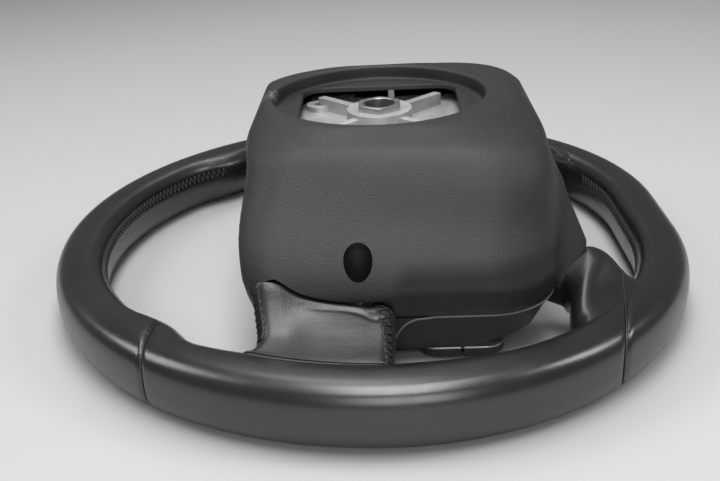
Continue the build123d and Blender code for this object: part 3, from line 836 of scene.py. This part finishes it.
def lace_hem(side, edge, across, pull):
    """One of the two sewn edges of leather that the threads draw together."""
    path = []
    for place in evenly(0.0, 1.0, LACE_CELLS * LACE_STEPS):
        wave = pull * cos(2 * pi * place * LACE_CELLS)
        path.append(lace_point(side, edge, place, across + wave, HEM_LIFT))
    return path


def fold_line(side):
    """Where the spoke's leather folds on to the rim."""
    path = []
    for y in evenly(*FOLD_Y, FOLD_STEPS):
        u = (sqrt(FOLD_RADIUS**2 - y * y) - SPOKE_ROOT_X) / (spoke_x(1.0, y) - SPOKE_ROOT_X)
        low = y - curve_at(SPOKE_LOW, u)
        high = curve_at(SPOKE_HIGH, u) - y
        edge = "low" if low < high else "high"
        path.append(spoke_skin(side, u, edge, edge_reach(min(low, high)), FOLD_LIFT))
    return path


for side_name, side in SIDES:
    spoke = lofted(f"spoke_{side_name}", [spoke_section(side, u) for u in evenly(*SPOKE_SPAN, SPOKE_RINGS)])
    dress_soft(spoke, SPOKE_LEATHER)
    threads = lace_threads(side, "low") + lace_threads(side, "high")
    dress_soft(tubes(f"lacing_{side_name}", threads, radius=0.36), LACE)
    hems = [lace_hem(side, edge, *pull) for edge in LACE_SPANS for pull in LACE_PULLS]
    dress_soft(tubes(f"spoke_hems_{side_name}", hems, radius=0.5, sides=8), SPOKE_LEATHER)
    fold = tubes(f"spoke_fold_{side_name}", [fold_line(side)], radius=0.6, sides=8)
    dress_soft(fold, SPOKE_LEATHER)


# Leather spokes at five and seven o'clock, by distance along the lower arm

LOW_SPAN = (66.0, 113.0)
LOW_RINGS = 66
LOW_TURNS = 72
LOW_CORNER = 0.5
LOW_EASE = 0.2
LOW_EASE_SPAN = (76.0, 88.0)
UNDERCUT_FADE = (0.0, -0.8)
LOW_CORD_SINK = Vector((0, 0, 0.15))

# Reach towards the side gap and towards six o'clock, and the share of the first that is left below
LOW_INNER = (
    (66, 7.2), (74, 8.0), (78, 9.8), (83, 16.5), (88, 26.0),
    (97, 41.0), (104, 52.0), (108, 48.0), (113, 36.0),
)
LOW_OUTER = (
    (66, 9.0), (70, 11.0), (74, 14.5), (78, 17.5), (84, 18.8),
    (93, 18.5), (98, 18.5), (104, 20.0), (113, 30.0),
)
LOW_UNDERCUT = ((78, 0.95), (84, 0.7), (90, 0.72), (97, 0.85), (104, 1.0))

# Heights at the six o'clock edge, at the side gap and below
LOW_OUTER_Z = (
    (66, -60.0), (72, -54.0), (78, -52.6), (84, -54.0), (87, -55.4), (90, -57.6),
    (93, -60.6), (97, -64.2), (101, -66.2), (106, -67.0), (113, -67.4),
)
LOW_INNER_Z = ((70, -66.0), (80, -64.5), (90, -65.5), (97, -66.5), (104, -66.9), (113, -67.4))
LOW_BOTTOM_Z = ((66, -82.4), (78, -83.0), (84, -86.0), (90, -90.0), (97, -92.0))
LOW_TABLES = (LOW_INNER, LOW_OUTER, LOW_INNER_Z, LOW_OUTER_Z, LOW_BOTTOM_Z, LOW_UNDERCUT)


def low_spoke_section(side, t):
    """A rounded section across the lower arm."""
    inner, outer, inner_z, outer_z, foot_z, undercut = [curve_at(rows, t) for rows in LOW_TABLES]
    base_x, base_y = ARM_START[0] + ARM_ALONG[0] * t, ARM_START[1] + ARM_ALONG[1] * t
    loop = []
    for turn in turns(LOW_TURNS):
        c, s = cos(turn), sin(turn)
        corner = LOW_CORNER if c > 0 else LOW_CORNER + LOW_EASE * smooth_step(*LOW_EASE_SPAN, t)
        offset = signed_power(c, corner) * (outer if c > 0 else inner)
        if c < 0 and s < 0:
            offset *= 1 - (1 - undercut) * smooth_step(*UNDERCUT_FADE, s)
        top = inner_z + (outer_z - inner_z) * (offset + inner) / (inner + outer)
        z = (top + foot_z) / 2 + (top - foot_z) / 2 * signed_power(s, corner)
        x = base_x + ARM_ALONG[1] * offset
        loop.append(Vector((side * x, base_y - ARM_ALONG[0] * offset, z)))
    return loop


def low_seam(rings, key):
    """The rim's seam where it runs on over the spoke, up to its edge."""
    half = LOW_TURNS // 2
    path = []
    for ring in rings:
        for a, b in zip(ring[:half], ring[1 : half + 1]):
            gap_a, gap_b = seam_distance(a, key), seam_distance(b, key)
            if (gap_a > 0) != (gap_b > 0):
                path.append(a + (b - a) * (gap_a / (gap_a - gap_b)) - LOW_CORD_SINK)
                break
    return path


for side_name, side in SIDES:
    rings = [low_spoke_section(side, t) for t in evenly(*LOW_SPAN, LOW_RINGS)]
    spoke = lofted(f"low_spoke_{side_name}", rings)
    dress_soft(spoke, LEATHER)
    seam = tubes(f"low_spoke_seam_{side_name}", [low_seam(rings, side_name)], CORD_RADIUS)
    dress_soft(seam, SPOKE_LEATHER)


# Rear cover: the outline at each height, drawn out into the wings on the lower arms

COVER_SKEW = 0.085
SKEW_LOW_FADE = (-40.0, -8.0)
SKEW_HIGH_FADE = (8.0, 1.0)
SIDE_FACE = (0.5, 0.8)
BELLY_DEPTH = 2.2
BELLY_SIDE_FADE = (-2.0, -13.0)
BELLY_HIGH_FADE = (-41.0, -54.0)
BELLY_LOW_FADE = (-71.0, -60.0)
WING_DOWN = 0.4
WING_ASIDE = 0.3
WING_END = 77.5
WING_SLOPE = 0.53
WING_TOP = (12.0, -51.0)
WING_FALL = 1.07
WING_BLEND = 8.0
WING_INNER_FADE = (-11.0, -6.0)
WING_OUTER_FADE = (16.0, 11.0)
WING_HIGH_FADE = (-10.0, -24.0)
WING_ROUNDS = 4

# Lower edge of the cover over the side spokes, as height by place towards twelve o'clock
COVER_EDGE = (
    (-5.2, -71.0), (-4.3, -65.8), (-1.6, -61.0), (1.9, -58.8), (11.1, -59.0), (20.3, -58.1),
    (29.3, -56.2), (38.3, -53.3), (42.7, -51.1), (47.1, -48.4), (51.5, -46.7), (55.3, -48.1),
    (57.3, -50.0), (59.2, -54.0), (60.3, -60.0), (60.8, -71.0),
)
COVER_EDGE_LEVEL = -60.0
COVER_EDGE_SIDE = 0.6

# Rows of the shell's mesh, from its lower edge over the lip and the recess and back down the inside
COVER_TURNS = 900
EDGE_ROWS = 22
EDGE_ROWS_TOP = -43.0
EDGE_CROWDING = 1.3
COVER_ROWS = (-42, -39, -36, -32, -28, -24, -20, -16, -13, -10, -8, -6, -4.5, -3.2, -2, -0.9, 0.2, 1.2)
ROOF_ROWS = (2.2, 3.2, 4.1, 4.9, 5.7)
ROOF_SHARES = (0.3, 0.6, 0.85)
ROOF_CROWN = 0.25
LIP_ROUND = 1.8
LIP_LAND = 2.2
LIP_STEPS = 5
RECESS_ROWS = (2.0, 0.0, RECESS_Z + 1.2)
RECESS_DRAFT = 0.15
RECESS_CORNER = ((0.5, 0.4), (1.3, 0.0))
RECESS_SHARES = (0.3, 0.6, 0.9)
WINDOW_LAND = 1.0
EDGE_ROUND = 0.9
EDGE_BREAK = 0.25
INNER_ROWS = 10
INNER_CROWDING = 1.6
INNER_TOP = LIP_Z - COVER_WALL - 0.5
INNER_LEVEL_LIMIT = LIP_Z - 0.3


def corner_reach(half, high, low, corner, low_corner, turn):
    """Distance from the axis to a rounded rectangle's outline, in one direction."""
    c, s = cos(turn), sin(turn)
    edge_y = high if s >= 0 else low
    radius = corner if s >= 0 else low_corner
    ax, ay = abs(c), abs(s)
    flat_x = half / ax if ax > 1e-9 else 1e9
    flat_y = edge_y / ay if ay > 1e-9 else 1e9
    if flat_x * ay <= edge_y - radius:
        return flat_x
    if flat_y * ax <= half - radius:
        return flat_y
    cx, cy = half - radius, edge_y - radius
    along = cx * ax + cy * ay
    return along + sqrt(max(0.0, along**2 - (cx * cx + cy * cy - radius**2)))


def wing_reach(turn, z):
    """Distance to the wing's skin at a height, and how fully the direction crosses the wing."""
    c, s = cos(turn), sin(turn)
    if -s < WING_DOWN or abs(c) < WING_ASIDE:
        return 0.0, 0.0
    facing = abs(c) * ARM_ALONG[0] + s * ARM_ALONG[1]
    start = ARM_START[0] * ARM_ALONG[0] + ARM_START[1] * ARM_ALONG[1]
    level = ARM_START[0] * ARM_ALONG[1] - ARM_START[1] * ARM_ALONG[0]
    end = WING_END
    for step in range(WING_ROUNDS):
        reach = (end + start) / facing
        offset = reach * (abs(c) * ARM_ALONG[1] - s * ARM_ALONG[0]) - level
        end_z = WING_TOP[1] - (WING_TOP[0] - offset) * WING_FALL
        end = WING_END - WING_SLOPE * max(0.0, z - end_z)
    share = smooth_step(*WING_INNER_FADE, offset) * smooth_step(*WING_OUTER_FADE, offset)
    return reach, share * smooth_step(*WING_HIGH_FADE, z)


def cover_reach(z, turn, inset):
    """Distance from the axis to the cover's skin."""
    reach = corner_reach(*(size - inset for size in curve_through(COVER_LEVELS, z)), turn)
    y = reach * sin(turn)
    face = smooth_step(*SIDE_FACE, abs(cos(turn)))
    reach -= COVER_SKEW * smooth_step(*SKEW_LOW_FADE, z) * smooth_step(*SKEW_HIGH_FADE, z) * face * y
    belly = smooth_step(*BELLY_SIDE_FADE, y) * smooth_step(*BELLY_HIGH_FADE, z)
    reach -= BELLY_DEPTH * belly * smooth_step(*BELLY_LOW_FADE, z) * face
    wing, share = wing_reach(turn, z)
    if share <= 0:
        return reach
    wing -= inset
    near = max(0.0, WING_BLEND - abs(wing - reach)) / WING_BLEND
    return reach + (max(wing, reach) + near * near * WING_BLEND / 4 - reach) * share


def cover_bottom(turn):
    """Height of the cover's lower edge: it is cut back round the side spokes."""
    y = cover_reach(COVER_EDGE_LEVEL, turn, 0) * sin(turn)
    if abs(cos(turn)) < COVER_EDGE_SIDE or not COVER_EDGE[0][0] < y < COVER_EDGE[-1][0]:
        return COVER_FOOT
    return curve_at(COVER_EDGE, y)


def outside_rows(turn, bottom):
    """The rounded lower edge and the outer skin, up to the roof."""
    shares = [(i / EDGE_ROWS) ** EDGE_CROWDING for i in range(EDGE_ROWS + 1)]
    heights = [bottom + (EDGE_ROWS_TOP - bottom) * share for share in shares]
    rows = [(cover_reach(z, turn, 0), z) for z in (*heights, *COVER_ROWS, *ROOF_ROWS)]
    reach, z = rows[0]
    return [(reach - EDGE_ROUND, z), (reach - EDGE_BREAK, z + EDGE_BREAK), *rows[1:]]


def recess_rows(turn, roof):
    """The roof, the round lip, the recess for the column and the edge of its window."""
    rim = LIP_RADIUS + LIP_LAND
    rows = [(roof + (rim - roof) * t, LIP_Z - ROOF_CROWN * (1 - t)) for t in ROOF_SHARES]
    for a in evenly(0.0, pi / 2, LIP_STEPS):
        across, up = LIP_ROUND * sin(a), LIP_ROUND * cos(a)
        rows.append((LIP_RADIUS + LIP_ROUND - across, LIP_Z - LIP_ROUND + up))
    rows += [(LIP_RADIUS - RECESS_DRAFT * (LIP_Z - z) / (LIP_Z - RECESS_Z), z) for z in RECESS_ROWS]
    rows += [(LIP_RADIUS - across, RECESS_Z + up) for across, up in RECESS_CORNER]
    window = corner_reach(*WINDOW_HALF, WINDOW_HALF[1], WINDOW_CORNER, WINDOW_CORNER, turn)
    corner = rows[-1][0]
    rows += [(corner + (window + WINDOW_LAND - corner) * t, RECESS_Z) for t in RECESS_SHARES]
    rows += [(window + EDGE_ROUND, RECESS_Z), (window + EDGE_BREAK, RECESS_Z - EDGE_BREAK)]
    return rows + [(window, RECESS_Z - EDGE_ROUND), (window, RECESS_Z - COVER_WALL)]


def inside_rows(turn, bottom):
    """The inner side of the wall, from the recess down to the lower edge."""
    least = LIP_RADIUS + COVER_WALL
    rows = [(least, RECESS_Z - COVER_WALL)]
    for t in evenly(1.0, 0.0, INNER_ROWS):
        z = bottom + (INNER_TOP - bottom) * (1 - (1 - t) ** INNER_CROWDING)
        reach = cover_reach(min(z + COVER_WALL * t, INNER_LEVEL_LIMIT), turn, COVER_WALL)
        rows.append((max(reach, least), z))
    return rows


def rear_cover():
    """The shell, as sections once round the wall in every direction."""
    points = []
    for turn in turns(COVER_TURNS):
        bottom = cover_bottom(turn)
        rows = outside_rows(turn, bottom)
        rows += recess_rows(turn, rows[-1][0]) + inside_rows(turn, bottom)
        points += [(reach * cos(turn), reach * sin(turn), z) for reach, z in rows]
    return closed_mesh("rear_cover_shell", points, grid_faces(COVER_TURNS, len(rows), True))


# Tool holes through the cover, and their sleeves

HOLE_TURNS = 64
HOLE_FULLNESS = 0.88
HOLE_CUT = (-66.0, 0.0)
SLEEVE_FOOT = -59.0
SLEEVE_WALL = 1.4
SLEEVE_SINK = 0.15
SLEEVE_OUTER_SINK = 3.0
SKIN_SEARCH = (-57.0, 0.0)


def hole_outline(margin):
    """The left tool hole's oval, a little fuller at its outer end."""
    outline = []
    for turn in turns(HOLE_TURNS):
        c, s = cos(turn), sin(turn)
        full = HOLE_FULLNESS if c > 0 else 1.0
        across = signed_power(c, full) * (TOOL_HOLE_SIZE[0] + margin)
        along = signed_power(s, full) * (TOOL_HOLE_SIZE[1] + margin)
        outline.append((TOOL_HOLE[0] + across, TOOL_HOLE[1] + along))
    return outline


def cut_away(piece, cutter):
    change = piece.modifiers.new("cut", "BOOLEAN")
    change.operation = "DIFFERENCE"
    change.solver = "EXACT"
    change.object = cutter
    bpy.context.view_layer.update()
    shape = bpy.data.meshes.new_from_object(piece.evaluated_get(bpy.context.evaluated_depsgraph_get()))
    piece.modifiers.clear()
    piece.data = shape
    bpy.data.objects.remove(cutter)


def skin_height(x, y):
    """Height of the cover's long slope over a place."""
    reach, turn = hypot(x, y), atan2(y, x)
    return last_place(*SKIN_SEARCH, lambda z: cover_reach(z, turn, 0) > reach)


def tool_sleeve(name, side):
    """The wall of a tool hole, from the cover's skin down to the spring."""
    inner, outer = hole_outline(0.0), hole_outline(SLEEVE_WALL)
    points = [(side * x, y, SLEEVE_FOOT) for x, y in inner]
    points += [(side * x, y, skin_height(x, y) - SLEEVE_SINK) for x, y in inner]
    points += [(side * x, y, skin_height(x, y) - SLEEVE_OUTER_SINK) for x, y in outer]
    points += [(side * x, y, SLEEVE_FOOT) for x, y in outer]
    piece = closed_mesh(f"tool_sleeve_{name}", points, grid_faces(4, HOLE_TURNS, True))
    piece.data.set_sharp_from_angle(angle=CRISP_ANGLE)
    return piece


cover = rear_cover()
for side_name, side in SIDES:
    cutter_rings = [[(side * x, y, z) for x, y in hole_outline(0.0)] for z in HOLE_CUT]
    cut_away(cover, lofted("cutter", cutter_rings))
    dress(tool_sleeve(side_name, side), SMOOTH, "wheel")
cover.data.set_sharp_from_angle(angle=CRISP_ANGLE)
dress(cover, GRAINED, "wheel")
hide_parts("rear_cover")


# Switch bezels: eased CAD bowls, the corner of the cover that laps them, and the bead along that edge,
# coloured as a painted highlight

FRONT_X = ((-96.0, 102.0), (-93.0, 107.0), (-86.0, 112.0), (-71.0, 115.0))
LAP_EDGE = ((-94.0, -3.0), (-90.9, -3.2), (-82.7, -4.8), (-76.3, -8.3), (-72.2, -14.0), (-71.2, -22.0))
LAP_SKINS = (0.55, 0.05)
LAP_ROWS = 29
LAP_COLUMNS = 13
LAP_END_Z = -88.0
LAP_START_Y = -2.6
BEAD_SPAN = (-92.0, -71.4)
BEAD_STEPS = 39
BEAD_LIFT = 0.6
BEAD_TURN = -0.2
BEAD_TURN_STEPS = 159
BEAD_SINK = 0.1
BEAD_Z = COVER_FOOT - 0.3
BEAD_WING_SHARE = 0.1
BEZEL_END_X = 62.5


def front_x(z):
    """Half length of the bowl in front of the cover."""
    for (z0, x0), (z1, x1) in zip(FRONT_X, FRONT_X[1:]):
        if z <= z1:
            return x0 + (x1 - x0) * (z - z0) / (z1 - z0)
    return FRONT_X[-1][1]


def cover_lap(name, side):
    """The rounded corner of the cover beside the spoke, over the bezel."""
    rings = []
    for z in evenly(COVER_FOOT, LAP_END_Z, LAP_ROWS):
        across = evenly(LAP_START_Y, curve_at(LAP_EDGE, z), LAP_COLUMNS)
        outer, inner = [side * (front_x(z) + skin) for skin in LAP_SKINS]
        rings.append([(outer, y, z) for y in across] + [(inner, y, z) for y in across[::-1]])
    piece = lofted(f"cover_lap_{name}", rings)
    piece.data.set_sharp_from_angle(angle=CRISP_ANGLE)
    return piece


def bezel_highlight_bead(side):
    """The fine bead from the spoke round the corner of the cover's edge and on to the wing; its light grey is
    a painted highlight.
    """
    path = []
    for z in evenly(*BEAD_SPAN, BEAD_STEPS):
        path.append(Vector((side * (front_x(z) + BEAD_LIFT), curve_at(LAP_EDGE, z), z)))
    for turn in evenly(BEAD_TURN, -pi / 2, BEAD_TURN_STEPS):
        if wing_reach(turn, COVER_FOOT)[1] > BEAD_WING_SHARE:
            break
        reach = cover_reach(COVER_FOOT, turn, 0) - BEAD_SINK
        x, y = reach * cos(turn), reach * sin(turn)
        if y < path[-1].y and x > BEZEL_END_X:
            path.append(Vector((side * x, y, BEAD_Z)))
    return path


for side_name, side in SIDES:
    dress(soften(f"switch_bezel_{side_name}", width=0.8), SMOOTH, "wheel")
    dress(cover_lap(side_name, side), GRAINED, "wheel")
    bead = tubes(f"bezel_highlight_bead_{side_name}", [bezel_highlight_bead(side)], radius=0.55, sides=8)
    dress(bead, PAINTED_HIGHLIGHT_BEAD, "wheel")


# Keys: eased CAD keys, each with a bright trim along its outer edge

KEY_OUTER_X = 106.8
KEY_ENDS = {"upper": (-36.8, -16.2, 1), "lower": (-37.2, -57.8, -1)}
KEY_CORNER = 9.0
TRIM_Z = -93.2
TRIM_TURN = radians(80)
TRIM_STEPS = 10
TRIM_TURN_STEPS = 12


def key_trim(side, row):
    """From the split along the outer edge and round the far corner."""
    near, far, heading = KEY_ENDS[row]
    centre_y = far - heading * KEY_CORNER
    path = [Vector((side * KEY_OUTER_X, y, TRIM_Z)) for y in evenly(near, centre_y, TRIM_STEPS)[:-1]]
    for turn in evenly(0.0, TRIM_TURN, TRIM_TURN_STEPS):
        x = KEY_OUTER_X - KEY_CORNER * (1 - cos(turn))
        path.append(Vector((side * x, centre_y + heading * KEY_CORNER * sin(turn), TRIM_Z)))
    return path


for side_name, side in SIDES:
    for row in KEY_ENDS:
        node = f"key_{side_name}_{row}"
        dress(soften(node, width=0.5), KEY, node)
        trim = tubes(f"key_trim_{side_name}_{row}", [key_trim(side, row)], radius=0.6, sides=8)
        dress(trim, TRIM, node)


# Casting, bush and pad with eased edges. Of the casting, only what shows in the column opening is eased.

EASED_RADIUS = 75.0
EASED_FLOOR = -40.0


def near_opening(place):
    return hypot(place.x, place.y) < EASED_RADIUS and place.z > EASED_FLOOR


dress(soften("armature", width=0.7, wanted=near_opening), CAST, "wheel")
dress(soften("hub_insert", width=0.5), STEEL, "wheel")
dress(soften("airbag_cover", width=1.4), SMOOTH, "horn_pad")


# Horn springs as wire coils, and rubber domes, each with a mesh of its own

SPRING_PLACES = ((-45.0, 28.5), (45.0, 28.5), (0.0, -42.0))
SPRING_ENDS = (-58.0, -45.0)
SPRING_RADIUS = 5.4
SPRING_WIRE = 0.75
SPRING_COILS = 5
SPRING_FLAT = 0.8
COIL_STEPS = 24


def spring_path(x, y):
    """A coil with flat ends, round a guide pin."""
    low, high = SPRING_ENDS[0] + SPRING_WIRE, SPRING_ENDS[1] - SPRING_WIRE
    rising = SPRING_COILS - 2 * SPRING_FLAT
    path = []
    for coil in evenly(0.0, SPRING_COILS, SPRING_COILS * COIL_STEPS):
        turn = 2 * pi * coil
        z = low + (high - low) * min(1.0, max(0.0, (coil - SPRING_FLAT) / rising))
        path.append(Vector((x + SPRING_RADIUS * cos(turn), y + SPRING_RADIUS * sin(turn), z)))
    return path


coils = tubes("horn_spring_coils", [spring_path(*place) for place in SPRING_PLACES], SPRING_WIRE, sides=8)
dress(coils, STEEL, "wheel")
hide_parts("horn_springs")
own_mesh(coils)
for side_name, side in SIDES:
    for row in KEY_ENDS:
        dome = soften(f"dome_{side_name}_{row}", width=0.15)
        dress(dome, RUBBER, "wheel")
        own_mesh(dome)


# Stage and light. Each lamp has a place, a target, a size and a power.

FLOOR_HALF = 4.0
LAMPS = {
    "top_light": ((-0.27, -0.02, 1.1), (-0.12, -0.02, -0.05), (0.5, 1.1), 12.5),
    "front_light": ((-1.1, -0.10, 0.45), (0, 0, -0.05), (0.6, 0.6), 4.0),
    "left_light": ((0.05, 1.0, 0.85), (-0.1, 0.1, -0.07), (0.6, 0.6), 5.0),
    "right_light": ((-0.1, -1.0, 0.85), (-0.12, -0.1, -0.06), (0.35, 0.5), 4.0),
    "back_light": ((0.65, 0.10, 1.0), (0, 0, -0.05), (0.4, 0.7), 2.5),
}
SKY_COLOUR = (0.80, 0.81, 0.82, 1)
SKY_STRENGTH = 0.2


def add_floor():
    corners = ((-1, -1), (1, -1), (1, 1), (-1, 1))
    mesh = bpy.data.meshes.new("floor")
    points = [(x * FLOOR_HALF, y * FLOOR_HALF, WHEEL_FRONT * MM) for x, y in corners]
    mesh.from_pydata(points, [], [(0, 1, 2, 3)])
    s = Shader("pale_floor")
    s.set(Base_Color=s.mix(s.noise(2, 2), (0.50, 0.50, 0.495), (0.53, 0.53, 0.525)), Roughness=0.6)
    mesh.materials.append(s.material)
    floor = add_object("floor", mesh)


def add_lamp(name, place, target, size, power):
    data = bpy.data.lights.new(name, "AREA")
    data.shape = "RECTANGLE"
    data.size, data.size_y = size
    data.energy = power
    lamp = add_object(name, data)
    lamp.location = place
    lamp.rotation_euler = (Vector(target) - Vector(place)).to_track_quat("-Z", "Y").to_euler()


def add_world():
    world = bpy.data.worlds.new("studio")
    world.use_nodes = True
    sky = world.node_tree.nodes["Background"]
    sky.inputs["Color"].default_value = SKY_COLOUR
    sky.inputs["Strength"].default_value = SKY_STRENGTH
    bpy.context.scene.world = world


add_floor()
for lamp_name, lamp in LAMPS.items():
    add_lamp(lamp_name, *lamp)
add_world()
bpy.context.scene.view_settings.view_transform = "Standard"
